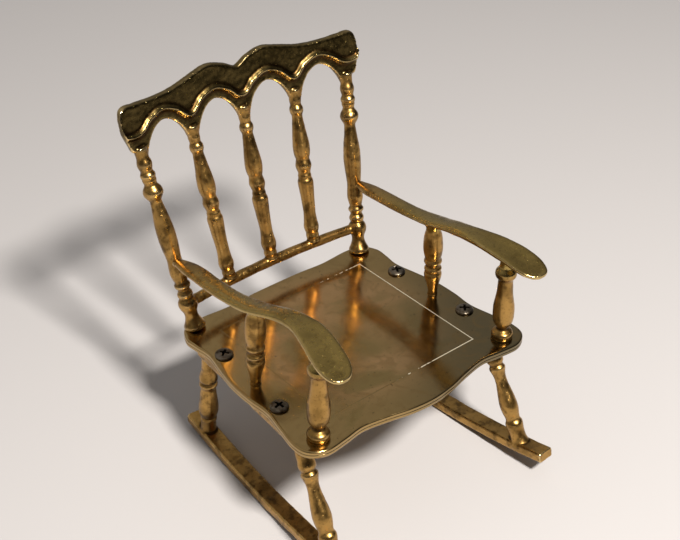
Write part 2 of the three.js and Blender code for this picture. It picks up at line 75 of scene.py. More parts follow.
CREST_THICK = 1.9
CREST_NECK_Z = 52.8              # where the spindles meet the crest rail
CREST_END_X = 40.2
CREST_STUB = 1.8                 # length of the stub outside each post
CREST_STUB_RISE = 5.2            # how far the stub's underside rises along it
ARCH_FOOT_Z = 50.8               # where the arches' sides end, inside the turnings
ARCH_TOP_Z = 58.9
ARCH_HALF = 7.3
ARCH_MIDDLES = (8.9, 26.6)

BEAD_WIDE = 2.0
BEAD_PROUD = 0.9
BEAD_LIFT = 0.2                  # of the bead's middle above its drawn line

ARM_FRONT = -54.7
ARM_NOSE = 7.7                   # length of the rounded tip
ARM_NOSE_FULL = 2.4              # 2 makes the tip an ellipse, more makes it blunter
ARM_DISH = 1.1                   # how deep the paddle is scooped
ARM_CROWN = 2.2                  # squareness of the arm's section above, where 2 is round
ARM_BELLY = 3.2                  # and below
DISH_START_Y = -24.0             # where the scoop begins, and where it is full
DISH_FULL_Y = -40.0
ARM_JOIN_Z = 22.0                # height where the arm meets the post
ARM_END_SHORT = 2.0              # how far the arm's end stops short of the post's middle
MID_SUPPORT = (Vector((32.5, -15.2, 0.0)), Vector((31.5, -15.2, 26.0)))
FRONT_SUPPORT = (Vector((33.2, -42.9, 0.0)), Vector((32.6, -42.9, 31.0)))

FRAME_X = 31.9
FRAME_TOE_IN = math.radians(3.95)
ROCKER_FRONT = -61.0
ROCKER_BACK = 20.0
ROCKER_MIDDLE = -16.0            # lowest point along the rocker
ROCKER_RADIUS = 256.0            # of the rocker's top face
ROCKER_TOP = -36.5               # top face at its lowest point
ROCKER_WIDE = 5.5
ROCKER_THICK = 3.0
BAR_FRONT = -37.5
BAR_BACK = 9.5
BAR_WIDE = 5.6
BAR_THICK = 3.0
BAR_TOP = -SEAT_THICK
FRONT_LEG = (Vector((0, -52.0, -35.5)), Vector((0, -37.2, -5.7)))
BACK_LEG = (Vector((0, 12.2, -36.2)), Vector((0, 9.2, -5.7)))

RIVET = 4.6                      # across the domed ends of the studs
STUD = 3.0

SCREW_PLACES = {"back": 0.0, "front": -27.4}  # along the side frame
SCREW_HEAD = 5.2
SCREW_SHANK = 2.4
RECESS_REACH = 1.72              # of each of the recess's arms, at the top of the head
SCREW_TURNS = {"back_left": 0.62, "front_left": 0.2, "back_right": 1.12, "front_right": 0.86}

SWELL_CELL = 4.2                 # size of the castings' broad unevenness, and of its grain
GRAIN_CELL = 1.3

# Turned shapes, as (height, radius) from the foot up.
POST_PROFILE = (
    (0, 3.1), (1.0, 3.1), (1.9, 2.6), (3.4, 2.0), (4.4, 1.9), (5.1, 2.0), (6.1, 2.5), (7.4, 2.8),
    (8.6, 2.5), (9.4, 1.85), (9.9, 2.25), (10.9, 2.25), (11.4, 1.8), (12.2, 1.8), (12.7, 2.3),
    (13.5, 2.3), (14.0, 1.8), (14.8, 2.0), (16.6, 2.4), (18.6, 2.3), (20.2, 2.1), (22, 2.2),
    (25, 2.5), (28, 2.65), (31, 2.5), (34, 2.15), (37, 1.75), (38.2, 1.7), (39, 2.2), (40, 2.75),
    (40.8, 2.8), (41.8, 2.4), (42.6, 1.8), (43.3, 1.75), (43.7, 2.0), (44.2, 2.0), (44.5, 1.8),
    (44.9, 2.15), (45.7, 2.15), (46.2, 1.75), (46.8, 1.75), (47.5, 2.0), (48.4, 2.15), (49.2, 2.0),
    (50, 1.75), (51.4, 1.75), (53.0, 1.9),
)
SPINDLE_PROFILE = (
    (8.6, 2.1), (9.6, 1.75), (10.2, 1.95), (10.9, 1.95), (11.4, 1.75), (12.0, 2.05), (13.3, 2.3),
    (14.7, 2.1), (16.8, 1.85), (19.2, 1.9), (22.4, 2.1), (25.3, 2.3), (26.9, 2.3), (27.5, 1.95),
    (28.2, 2.1), (28.8, 1.8), (29.8, 2.1), (31.0, 2.4), (32.3, 2.15), (33.0, 2.0), (34.1, 2.35),
    (35.8, 2.55), (38.4, 2.4), (41.6, 1.95), (44.2, 1.65), (45.4, 1.6), (46.1, 2.0), (47.4, 2.0),
    (48.0, 1.6), (48.8, 1.65), (49.6, 1.75), (50.4, 1.6), (52.6, 1.75),
)
MID_SUPPORT_PROFILE = (
    (0, 1.6), (1.0, 1.4), (3.2, 1.7), (6.4, 2.5), (7.8, 2.6), (8.5, 2.2), (9.0, 2.55), (9.6, 2.55),
    (10.1, 2.1), (11.0, 2.1), (11.5, 2.6), (12.3, 2.6), (12.8, 2.3), (14.1, 2.6), (16.2, 2.85),
    (18.4, 2.85), (20.8, 2.6), (22.9, 2.1), (26, 1.9),
)
FRONT_SUPPORT_PROFILE = (
    (0, 3.0), (1.4, 3.1), (2.2, 2.7), (2.9, 1.6), (3.5, 1.5), (4.3, 2.1), (5.6, 2.75), (8.0, 3.05),
    (11.2, 2.9), (14.4, 2.4), (17.6, 2.15), (19.8, 2.15), (20.4, 2.5), (21.1, 2.95), (22.3, 2.95),
    (23.1, 2.5), (23.8, 2.0), (26.2, 1.9), (28.5, 2.3), (31, 2.3),
)
FRONT_LEG_PROFILE = (
    (0, 3.1), (1, 2.75), (2.4, 2.4), (4.4, 2.35), (5.6, 2.45), (6.6, 2.6), (7.5, 2.55), (8.2, 2.15),
    (9, 2.15), (10.6, 2.45), (12.2, 2.65), (13.4, 2.65), (15.6, 2.4), (18, 2.05), (20, 1.8),
    (21.8, 1.75), (23.4, 2), (24.6, 2.4), (25.3, 2.4), (25.8, 2), (26.4, 2), (26.9, 2.4), (28, 2.5),
    (29.2, 2.3), (33.5, 2.2),
)
BACK_LEG_PROFILE = (
    (0, 2.9), (1, 2.55), (2, 2.35), (4.4, 2.35), (6.2, 2.5), (6.8, 2.15), (7.6, 2.6), (9.8, 2.95),
    (13, 2.75), (16.4, 2.35), (18.4, 2.15), (19.4, 2.65), (20.2, 2.65), (20.9, 2.2), (21.6, 2.7),
    (23.4, 2.5), (25.2, 2.1), (31, 2),
)
# Half of the seat's serpentine edge, from the middle of the front round to the middle of the back.
SEAT_OUTLINE = (
    (0, -50.6), (7.2, -49.9), (14.4, -48.2), (21.6, -47.0), (28, -47.8), (34.4, -48.2),
    (38.8, -45.6), (39.9, -40.8), (38.7, -33.6), (37.4, -26.4), (37.9, -19.2), (37.7, -11.2),
    (36.4, -4), (35.0, 3.2), (35.6, 8.6), (35.7, 13.3), (32.8, 17.8), (27.0, 18.8), (17.6, 18.2),
    (8.8, 18.8), (0, 18.9),
)
# The seat's rim from top to bottom, as (distance in from the edge, height), with a fine line at mid height.
SEAT_SECTION = (
    (1.4, 0.0), (0.62, 0.0), (0.4, -0.03), (0.2, -0.13), (0.06, -0.3), (0.0, -0.55), (0.0, -1.0),
    (0.05, -1.08), (0.2, -1.16), (0.05, -1.24), (0.0, -1.32), (0.0, -1.8), (0.06, -2.1),
    (0.2, -2.27), (0.4, -2.37), (0.62, -2.4), (1.4, -2.4),
)


# ---- shapes ---------------------------------------------------------------------------------------
def smooth_through(pairs):
    """A smooth curve through (position, value) pairs, read at any position."""
    def read(position):
        last = len(pairs) - 2
        i = min(last, max(0, sum(1 for at, _ in pairs if at <= position) - 1))
        (x0, y0), (x1, y1) = pairs[i], pairs[i + 1]
        x_before, y_before = pairs[max(0, i - 1)]
        x_after, y_after = pairs[min(len(pairs) - 1, i + 2)]
        slope0 = (y1 - y_before) / (x1 - x_before)
        slope1 = (y_after - y0) / (x_after - x0)
        span = x1 - x0
        t = min(1.0, max(0.0, (position - x0) / span))
        return ((2 * t ** 3 - 3 * t ** 2 + 1) * y0 + (t ** 3 - 2 * t ** 2 + t) * span * slope0
                + (3 * t ** 2 - 2 * t ** 3) * y1 + (t ** 3 - t ** 2) * span * slope1)
    return read


def between(low, high, steps):
    """Evenly spaced values from low to high, both included."""
    return [low + (high - low) * i / steps for i in range(steps + 1)]


def loft(rings):
    """A closed body through rings of points: (points, faces)."""
    around = len(rings[0])
    points = [point for ring in rings for point in ring]
    faces = []
    for i in range(len(rings) - 1):
        for j in range(around):
            a, b = i * around + j, i * around + (j + 1) % around
            faces.append((a, b, b + around, a + around))
    faces.append(tuple(reversed(range(around))))
    faces.append(tuple(range(len(points) - around, len(points))))
    return points, faces


def turned(profile, foot, head, around=32, step=0.3):
    """A solid of revolution from a (height, radius) profile, stretched to reach from foot to head."""
    low, high = profile[0][0], profile[-1][0]
    radius_at = smooth_through(profile)
    reach = head - foot
    turn = reach.to_track_quat("Z", "Y")
    angles = [math.tau * j / around for j in range(around)]
    rings = []
    for height in between(low, high, round((high - low) / step)):
        radius = radius_at(height)
        centre = foot + reach * ((height - low) / (high - low))
        ring = [Vector((radius * math.cos(a), radius * math.sin(a), 0)) for a in angles]
        rings.append([centre + turn @ point for point in ring])
    return loft(rings)


def mirrored(point, side):
    return Vector((side * point.x, point.y, point.z))


def squared_circle(angle, power):
    """A point on a circle that grows squarer as the power rises above 2."""
    swell = (abs(math.cos(angle)) ** power + abs(math.sin(angle)) ** power) ** (-1 / power)
    return math.cos(angle) * swell, math.sin(angle) * swell


def back_surface(x, z):
    """The y of the back's middle surface."""
    return BACK_Y + BACK_RAKE * z - BACK_BOW * (x / BACK_BOW_X) ** 2


def rivet(foot):
    """The domed end of a stud under the seat."""
    under, radius = -SEAT_THICK, RIVET / 2
    dome = ((under - 0.95, 0.5), (under - 0.85, 1.3), (under - 0.5, radius - 0.3),
            (under - 0.1, radius), (under + 0.6, STUD / 2), (0.5, STUD / 2))
    low, high = dome[0][0], dome[-1][0]
    return turned(dome, Vector((foot.x, foot.y, low)), Vector((foot.x, foot.y, high)))


# ---- the back -------------------------------------------------------------------------------------
crest_top = smooth_through((
    (-1, 65.9), (0, 65.3), (4, 67.2), (9.3, 68.4), (14, 67.6), (21.5, 65.9), (28, 65.5), (35, 65.9),
    (38.2, 66.1), (39.7, 65.2), (CREST_END_X, 63.6),
))
crest_bead = smooth_through((
    (-1.5, 57.8), (0, 57.4), (1.5, 57.8), (4.2, 60.2), (8.9, 61.9), (13.6, 60.4), (16.4, 57.9),
    (17.8, 57.4), (19.2, 57.9), (22, 60.3), (26.6, 61.9), (31.2, 60.4), (33.8, 58.5), (36, 57.8),
    (CREST_END_X, 58.4),
))


def crest_bottom(x):
    """The rail's lower edge: an arch between each two turnings, and a stub that rises outside the posts."""
    stub_start = CREST_END_X - CREST_STUB
    if x > stub_start:
        return CREST_NECK_Z + 1 + CREST_STUB_RISE * (x - stub_start) / CREST_STUB
    for middle in ARCH_MIDDLES:
        across = abs(x - middle) / ARCH_HALF
        if across < 1:
            return ARCH_FOOT_Z + (ARCH_TOP_Z - ARCH_FOOT_Z) * (1 - across ** 1.9) ** 0.75
    return ARCH_FOOT_Z if x < ARCH_MIDDLES[1] else CREST_NECK_Z + 1


def crest_rail():
    """The rail, lofted along its length, with a round bead that keeps its width where it runs steeply."""
    half = CREST_THICK / 2
    bevel, step = 0.35, 0.2
    rings = []
    for x in between(-CREST_END_X, CREST_END_X, 240):
        at = abs(x)
        top, bottom = crest_top(at), crest_bottom(at)
        slope = (crest_bead(at + step) - crest_bead(at - step)) / (2 * step)
        bead_half = BEAD_WIDE / 2 * min(1.7, math.hypot(1, slope))
        bead = max(crest_bead(at) + BEAD_LIFT, bottom + bead_half + 0.3)
        ring = [(half, bottom + 0.3), (half, top - bevel), (half - bevel, top),
                (bevel - half, top), (-half, top - bevel)]
        for share in between(1, -1, 8):
            proud = BEAD_PROUD * math.cos(share * math.pi / 2) ** 1.5
            ring.append((-half - proud, bead + share * bead_half))
        ring += [(-half, bottom + 0.25), (0.25 - half, bottom), (half - 0.3, bottom)]
        rings.append([Vector((x, back_surface(x, z) + offset, z)) for offset, z in ring])
    return loft(rings)


def lower_rail():
    """The rail between the posts, a rounded square in section."""
    end = POST_FOOT.lerp(POST_HEAD, RAIL_Z / POST_HEAD.z).x
    rings = []
    for x in between(-end, end, 80):
        ring = []
        for a in between(0, math.tau, 16)[:-1]:
            across, up = squared_circle(a, 3)
            z = RAIL_Z + up * RAIL_HIGH / 2
            ring.append(Vector((x, back_surface(x, z) + across * RAIL_DEEP / 2, z)))
        rings.append(ring)
    return loft(rings)


def back_spindle(x):
    """A spindle, let into the lower rail and the crest rail."""
    foot_z, head_z = RAIL_Z + 0.6, CREST_NECK_Z + 1.2
    foot_x, head_x = x * SPINDLE_FOOT_X, x * SPINDLE_HEAD_X
    foot = Vector((foot_x, back_surface(foot_x, foot_z), foot_z))
    head = Vector((head_x, back_surface(head_x, head_z), head_z))
    return turned(SPINDLE_PROFILE, foot, head)


def back_post(side):
    """A back post, run on so that its head ends inside the crest rail."""
    foot, head = mirrored(POST_FOOT, side), mirrored(POST_HEAD, side)
    head += (head - foot).normalized() * 1.5
    return turned(POST_PROFILE, foot, head)


def back_members():
    members = [crest_rail(), lower_rail()]
    members += [back_spindle(x) for x in (-1, 0, 1)]
    for side in (-1, 1):
        members += [back_post(side), rivet(mirrored(POST_FOOT, side))]
    return members


# ---- arms -----------------------------------------------------------------------------------------
arm_middle = smooth_through((
    (-54.7, 34.2), (-46.4, 33.1), (-40, 31.8), (-33.6, 31.0), (-27.2, 31.1), (-20.8, 31.9), (-14.4, 32.4),
    (0, 32.7), (12, 32.6), (19.2, 33.0),
))
arm_top = smooth_through((
    (-54.7, 26.9), (-49.6, 28.9), (-43.2, 30.7), (-36.8, 31.4), (-30.4, 30.7), (-24, 29.0), (-17.6, 26.9),
    (-11.2, 25.3), (-4.8, 24.3), (1.6, 23.8), (8, 23.6), (14.4, 23.2), (19.2, 22.6),
))
arm_width = smooth_through((
    (-47, 9.5), (-43, 9.2), (-38, 8.2), (-33.6, 6.9), (-28, 5.9), (-20, 5.8), (-14.4, 6.3), (-8, 5.7),
    (8, 5.6), (13, 5.3), (17.2, 3.6), (17.8, 3.2),
))
arm_thick = smooth_through((
    (-54.7, 2.4), (-44, 3.0), (-32, 3.0), (-22, 2.4), (-12, 2.0), (19.2, 2.0),
))


def arm(side):
    """The arm, from its rounded tip to the front of the post, with its paddle scooped."""
    back = POST_FOOT.lerp(POST_HEAD, ARM_JOIN_Z / POST_HEAD.z).y - ARM_END_SHORT
    stations = [ARM_FRONT + ARM_NOSE * (1 - math.cos(a)) for a in between(0.1, math.pi / 2, 24)]
    stations += between(ARM_FRONT + ARM_NOSE, back, 90)[1:]
    rings = []
    for y in stations:
        into_nose = min(1.0, (y - ARM_FRONT) / ARM_NOSE)
        nose = (1 - (1 - into_nose) ** ARM_NOSE_FULL) ** (1 / ARM_NOSE_FULL)
        half = nose * arm_width(y) / 2
        thick = arm_thick(y) * (0.45 + 0.55 * nose)
        scoop = min(1.0, max(0.0, (DISH_START_Y - y) / (DISH_START_Y - DISH_FULL_Y)))
        dish = ARM_DISH * nose * scoop * scoop * (3 - 2 * scoop)
        ring = []
        for a in between(0, math.tau, 36)[:-1]:
            across, up = squared_circle(a, ARM_CROWN if math.sin(a) > 0 else ARM_BELLY)
            up = (up - 1) * thick / 2
            if math.sin(a) > 0:
                up -= dish * max(0.0, 1 - across ** 2)
            ring.append(Vector((side * (arm_middle(y) + across * half), y, arm_top(y) + up)))
        rings.append(ring if side > 0 else ring[::-1])
    return loft(rings)


def arm_members(side):
    """The arm and its two supports, whose heads end inside the arm."""
    members = [arm(side)]
    supports = ((MID_SUPPORT, MID_SUPPORT_PROFILE), (FRONT_SUPPORT, FRONT_SUPPORT_PROFILE))
    for (foot, head), profile in supports:
        under_arm = arm_top(foot.y) - arm_thick(foot.y) * 0.5
        shown = tuple(pair for pair in profile if pair[0] < under_arm - 1) + ((under_arm, 2.4),)
        tip = foot.lerp(head, under_arm / head.z)
        members.append(turned(shown, mirrored(foot, side), mirrored(tip, side)))
    members.append(rivet(mirrored(FRONT_SUPPORT[0], side)))
    return members


# ---- side frames, drawn with x = 0 on the frame's own plane -----------------------------------------
def rocker():
    """A flat bar with eased edges, bent to the rocker's arc."""
    half = ROCKER_WIDE / 2
    corner = 0.45
    outline = ((-half + corner, 0), (half - corner, 0), (half, -corner), (half, corner - ROCKER_THICK),
               (half - corner, -ROCKER_THICK), (-half + corner, -ROCKER_THICK),
               (-half, corner - ROCKER_THICK), (-half, -corner))
    rings = []
    for along in between(ROCKER_FRONT, ROCKER_BACK, 90):
        lean = (along - ROCKER_MIDDLE) / ROCKER_RADIUS
        top = ROCKER_TOP + ROCKER_RADIUS - math.sqrt(ROCKER_RADIUS ** 2 - (along - ROCKER_MIDDLE) ** 2)
        back, rise = -math.sin(lean), math.cos(lean)
        rings.append([Vector((x, along + up * back, top + up * rise)) for x, up in outline])
    return loft(rings)


def side_bar():
    """The bar under the seat, with round ends."""
    half = BAR_WIDE / 2
    outline = []
    for way, end in ((1, BAR_BACK), (-1, BAR_FRONT)):
        for a in between(0, math.pi, 16):
            outline.append((way * half * math.cos(a), end + way * half * math.sin(a)))
    return loft([[Vector((x, y, z)) for x, y in outline] for z in (BAR_TOP - BAR_THICK, BAR_TOP)])


def side_members(side):
    """A side frame's rocker, bar and legs, toed in and in place."""
    place = Matrix.Translation((side * FRAME_X, 0, 0)) @ Matrix.Rotation(side * FRAME_TOE_IN, 4, "Z")
    members = [rocker(), side_bar()]
    members += [turned(FRONT_LEG_PROFILE, *FRONT_LEG), turned(BACK_LEG_PROFILE, *BACK_LEG)]
    return [([place @ point for point in points], faces) for points, faces in members]


# ---- meshes -----------------------------------------------------------------------------------------
def seat_to_row():
    """From the seat's own millimetres to the row frame, by way of the seat mount."""
    mount = next(m for m in frame["record"]["mounts"] if m["name"] == "seat_top")
    _, normal_y, normal_z = mount["axis"]
    return (Matrix.Translation(mount["pos_m"]) @ Matrix.Rotation(-math.atan2(normal_y, normal_z), 4, "X")
            @ Matrix.Scale(MM, 4) @ Matrix.Translation((0, -SEAT_MOUNT_Y, 0)))


PLACE = seat_to_row()


def new_object(name, points, faces):
    mesh = bpy.data.meshes.new(name)
    mesh.from_pydata([tuple(point) for point in points], [], faces)
    mesh.update()
    made = bpy.data.objects.new(name, mesh)
    bpy.context.collection.objects.link(made)
    return made


def joined(solids):
    """Several (points, faces) bodies as one."""
    points, faces = [], []
    for more_points, more_faces in solids:
        start = len(points)
        points += more_points
        faces += [tuple(start + i for i in face) for face in more_faces]
    return points, faces


def with_modifiers_applied(made):
    """Replaces an object's mesh with what its modifiers make of it."""
    evaluated = made.evaluated_get(bpy.context.evaluated_depsgraph_get())
    mesh = bpy.data.meshes.new_from_object(evaluated)
    made.modifiers.clear()
    old = made.data
    made.data = mesh
    bpy.data.meshes.remove(old)
    return mesh


def vertex_values(mesh, what):
    """The mesh's vertex places or normals, one row each."""
    values = np.empty(len(mesh.vertices) * 3)
    mesh.vertices.foreach_get(what, values)
    return values.reshape(-1, 3)


def mark_hollows(mesh, rounds=14, reach=0.28):
    """Stores on each point how far it lies in a hollow (positive) or on a crest (negative)."""
    places = vertex_values(mesh, "co")
    count = len(places)
    edges = np.empty(len(mesh.edges) * 2, dtype=np.int32)
    mesh.edges.foreach_get("vertices", edges)
    ends = np.concatenate((edges[0::2], edges[1::2]))
    others = np.concatenate((edges[1::2], edges[0::2]))
    neighbours = np.bincount(ends, minlength=count)[:, None]
    smooth = places.copy()
    for _ in range(rounds):
        sums = [np.bincount(ends, weights=smooth[others, axis], minlength=count) for axis in range(3)]
        smooth = np.stack(sums, axis=1) / neighbours
    hollow = ((smooth - places) * vertex_values(mesh, "normal")).sum(axis=1) / reach
    stored = mesh.attributes.new("hollow", "FLOAT", "POINT")
    stored.data.foreach_set("value", np.clip(hollow, -2, 2).astype(np.float32))


def roughen(mesh, swell, grain=0.035):
    """The slight unevenness of a small sand casting."""
    places = vertex_values(mesh, "co")
    lifts = []
    for place in map(Vector, places):
        broad = noise.noise(place / SWELL_CELL)
        fine = noise.noise(place / GRAIN_CELL + Vector((7, 3, 5)))
        lifts.append(swell * broad + grain * fine)
    moved = places + vertex_values(mesh, "normal") * np.array(lifts)[:, None]
    mesh.vertices.foreach_set("co", moved.ravel())
    mesh.update()


def add_fuse(made, voxel):
    """A modifier that makes one skin round bodies that overlap."""
    fuse = made.modifiers.new("fuse", "REMESH")
    fuse.mode = "VOXEL"
    fuse.voxel_size = voxel


def casting(name, solids, voxel=0.26, rounds=4, swell=0.09):
    """One skin round overlapping members, with soft inside corners, placed in the row frame."""
    made = new_object(name, *joined(solids))
    add_fuse(made, voxel)
    soften = made.modifiers.new("soften", "SMOOTH")
    soften.factor = 0.5
    soften.iterations = rounds
    mesh = with_modifiers_applied(made)
    mark_hollows(mesh)
    roughen(mesh, swell)
    finish_mesh(mesh)
    return made


def finish_mesh(mesh):
    """Places a mesh drawn in seat millimetres in the row frame, and shades it smooth."""
    mesh.transform(PLACE)
    mesh.polygons.foreach_set("use_smooth", [True] * len(mesh.polygons))
    mesh.update()


# ---- the seat plate ---------------------------------------------------------------------------------
def seat_edge():
    """The whole serpentine outline as a closed, evenly dense loop, anticlockwise from above."""
    half = [Vector((x, y)) for x, y in SEAT_OUTLINE]
    loop = half + [Vector((-p.x, p.y)) for p in reversed(half[1:-1])]
    count = len(loop)
    points = []
    for i in range(count):
        before, start, end, after = (loop[(i + k) % count] for k in (-1, 0, 1, 2))
        for t in between(0, 1, 10)[:-1]:
            points.append(0.5 * (2 * start + (end - before) * t
                                 + (2 * before - 5 * start + 4 * end - after) * t ** 2
                                 + (3 * start - before - 3 * end + after) * t ** 3))
    return points


def inset(loop, distance):
    """The loop moved in by a distance, along its own normals."""
    count = len(loop)
    moved = []
    for i, point in enumerate(loop):
        along = loop[(i + 1) % count] - loop[i - 1]
        moved.append(point + Vector((-along.y, along.x)).normalized() * distance)
    return moved


def plate_body(edge):
    """The plate's rim and underside. Its first points go round the flat top, which is left open."""
    points = []
    for distance, z in SEAT_SECTION:
        points += [Vector((p.x, p.y, z)) for p in inset(edge, distance)]
    around = len(edge)
    faces = []
    for i in range(len(SEAT_SECTION) - 1):
        for j in range(around):
            a, b = i * around + j, i * around + (j + 1) % around
            faces.append((a, a + around, b + around, b))
    faces.append(tuple(range(len(points) - around, len(points)))[::-1])
    return points, faces


def add_groove_rings(points):
    """Adds the scribed groove's points. Returns its rectangles' point numbers, from the outside in."""
    section = ((SCRIBE_WIDE / 2, 0.0), (SCRIBE_FLOOR / 2, -SCRIBE_DEEP),
               (-SCRIBE_FLOOR / 2, -SCRIBE_DEEP), (-SCRIBE_WIDE / 2, 0.0))
    rings = []
    for grown, z in section:
        ring = []
        for side, y in ((1, PANEL["front"] - grown), (1, PANEL["back"] + grown),
                        (-1, PANEL["back"] + grown), (-1, PANEL["front"] - grown)):
            ring.append(len(points))
            points.append(Vector((side * (PANEL["right"] + grown), y, z)))
        rings.append(ring)
    return rings


def seat_plate():
    """The plate, with a rounded edge that has a fine line round it, and the scribed panel."""
    edge = seat_edge()
    points, faces = plate_body(edge)
    rings = add_groove_rings(points)
    groove_start = len(faces)
    for outer, inner in zip(rings, rings[1:]):
        for k in range(4):
            faces.append((outer[k], outer[(k + 1) % 4], inner[(k + 1) % 4], inner[k]))
    groove_end = len(faces)
    faces.append(tuple(rings[-1]))
    faces += top_round_panel(points, list(range(len(edge))), rings[0])
    made = new_object("seat_plate", points, faces)
    finish_mesh(made.data)
    for i in range(groove_start, len(faces)):
        made.data.polygons[i].use_smooth = False
        made.data.polygons[i].material_index = 1 if i < groove_end else 0
    return made


def top_round_panel(points, rim, rectangle):
    """Faces that fill the flat top between the plate's rim and the panel, split at the panel's corners."""
    nearest = [min(rim, key=lambda i: (points[i] - points[corner]).length) for corner in rectangle]
    faces = []
    for k in range(4):
        first, last = nearest[k], nearest[(k + 1) % 4]
        stretch = [first]
        while stretch[-1] != last:
            stretch.append((stretch[-1] + 1) % len(rim))
        faces.append(tuple(stretch) + (rectangle[(k + 1) % 4], rectangle[k]))
    return faces


# ---- screws -----------------------------------------------------------------------------------------
def seat_screw(label, side, along):
    """A pan head with a tapered cross recess."""
    radius, shank = SCREW_HEAD / 2, SCREW_SHANK / 2
    profile = ((-SEAT_THICK - 2.6, 0.9), (-SEAT_THICK - 2.2, shank), (-0.3, shank), (-0.1, radius - 0.5),
               (0.0, radius - 0.12), (0.15, radius), (0.4, radius - 0.02), (0.65, radius - 0.18),
               (0.85, radius - 0.5), (1.02, radius - 1.05), (1.12, radius - 1.7), (1.15, 0.4))
    low, high = profile[0][0], profile[-1][0]
    body = turned(profile, Vector((0, 0, low)), Vector((0, 0, high)), around=48, step=0.08)
    head = new_object(f"screw_{label}", *body)
    recess = cross_recess()
    cut = head.modifiers.new("recess", "BOOLEAN")
    cut.object = recess
    cut.operation = "DIFFERENCE"
    mesh = with_modifiers_applied(head)
    bpy.data.objects.remove(recess)
    for face in mesh.polygons:
        x, y, z = face.center
        in_recess = 0 < z < 0.85 and math.hypot(x, y) < RECESS_REACH + 0.08
        # The recess's faces take the second material, a near-black painted shade.
        face.material_index = 1 if in_recess else 0
    toe_in = Matrix.Rotation(side * FRAME_TOE_IN, 4, "Z")
    spot = toe_in @ Vector((0, along, 0)) + Vector((side * FRAME_X, 0, 0))
    mesh.transform(Matrix.Translation(spot) @ Matrix.Rotation(SCREW_TURNS[label], 4, "Z"))
    finish_mesh(mesh)
    mesh.set_sharp_from_angle(angle=math.radians(35))
    return head


def cross_recess():
    """The body that is cut out of a screw head: two crossed slots as one skin."""
    recess = new_object("recess", *joined([cross_arm(0), cross_arm(math.pi / 2)]))
    add_fuse(recess, 0.06)
    with_modifiers_applied(recess)
    return recess


def cross_arm(turn):
    """One tapered slot of the cross recess."""
    rings = []
    for z, long, wide in ((0.1, 0.8, 0.2), (1.15, RECESS_REACH, 0.42), (2.0, RECESS_REACH, 0.42)):
        corners = ((long, wide), (-long, wide), (-long, -wide), (long, -wide))
        rings.append([Matrix.Rotation(turn, 3, "Z") @ Vector((x, y, z)) for x, y in corners])
    return loft(rings)


# ---- materials --------------------------------------------------------------------------------------
class Surface:
    """A Principled metal, built up from procedural nodes. Scales are in cycles per metre."""

    def __init__(self, name, roughness=None):
        self.material = bpy.data.materials.new(name)
        self.material.use_nodes = True
        self.tree = self.material.node_tree
        self.shader = self.tree.nodes["Principled BSDF"]
        self.shader.inputs["Metallic"].default_value = 1.0
        if roughness is not None:
            self.shader.inputs["Roughness"].default_value = roughness
        self.places = self.tree.nodes.new("ShaderNodeTexCoord").outputs["Object"]

    def node(self, kind, inputs, **settings):
        made = self.tree.nodes.new(kind)
        for key, value in settings.items():
            setattr(made, key, value)
        for key, value in inputs.items():
            if isinstance(value, bpy.types.NodeSocket):
                self.tree.links.new(value, made.inputs[key])
            else:
                made.inputs[key].default_value = value
        return made

    def noise(self, scale, detail=4.0, stretch=(1, 1, 1), turn=0.0, distortion=0.0):
        mapped = self.node("ShaderNodeMapping", {
            "Vector": self.places, "Scale": stretch, "Rotation": (0, 0, turn),
        })
        return self.node("ShaderNodeTexNoise", {
            "Vector": mapped.outputs[0], "Scale": scale, "Detail": detail, "Distortion": distortion,
        }).outputs[0]

    def hollow(self):
        """How far the surface lies in a hollow, as mark_hollows stored it."""
        return self.node("ShaderNodeAttribute", {}, attribute_name="hollow").outputs["Fac"]

    def spread(self, value, low, high, to_low=0.0, to_high=1.0):
        """The value eased from the range low to high into the range to_low to to_high."""
        return self.node("ShaderNodeMapRange", {
            0: value, 1: low, 2: high, 3: to_low, 4: to_high,
        }, interpolation_type="SMOOTHSTEP").outputs[0]

    def maths(self, operation, first, second):
        return self.node("ShaderNodeMath", {0: first, 1: second}, operation=operation).outputs[0]

    def mix(self, factor, first, second):
        made = self.tree.nodes.new("ShaderNodeMix")
        made.data_type = "RGBA"
        self.tree.links.new(factor, made.inputs[0])
        for index, value in ((6, first), (7, second)):
            if isinstance(value, bpy.types.NodeSocket):
                self.tree.links.new(value, made.inputs[index])
            else:
                made.inputs[index].default_value = (*value, 1)
        return made.outputs[2]

    def along(self, axis):
        """The place along one axis of the row frame, in metres."""
        return self.node("ShaderNodeSeparateXYZ", {0: self.places}).outputs[axis]

    def paint(self, colour, roughness=None):
        self.tree.links.new(colour, self.shader.inputs["Base Color"])
        if roughness is not None:
            self.tree.links.new(roughness, self.shader.inputs["Roughness"])

    def emboss(self, *layers):
        """Bumps, each a height and its depth in metres, one on another."""
        normal = None
        for height, depth in layers:
            inputs = {"Height": height, "Distance": depth, "Strength": 1.0}
            if normal is not None:
                inputs["Normal"] = normal
            normal = self.node("ShaderNodeBump", inputs).outputs[0]
        self.tree.links.new(normal, self.shader.inputs["Normal"])


DEEP_BROWN = (0.035, 0.018, 0.006)
GOLD = (0.46, 0.27, 0.08)
TARNISH = (0.24, 0.14, 0.04)
RUBBED = (0.8, 0.6, 0.3)
# Painted shade: the darker colours of the crest rail's faces.
CREST_PAINTED_SHADE = (0.155, 0.11, 0.038)
CREST_PAINTED_SHADE_TARNISH = (0.12, 0.084, 0.028)
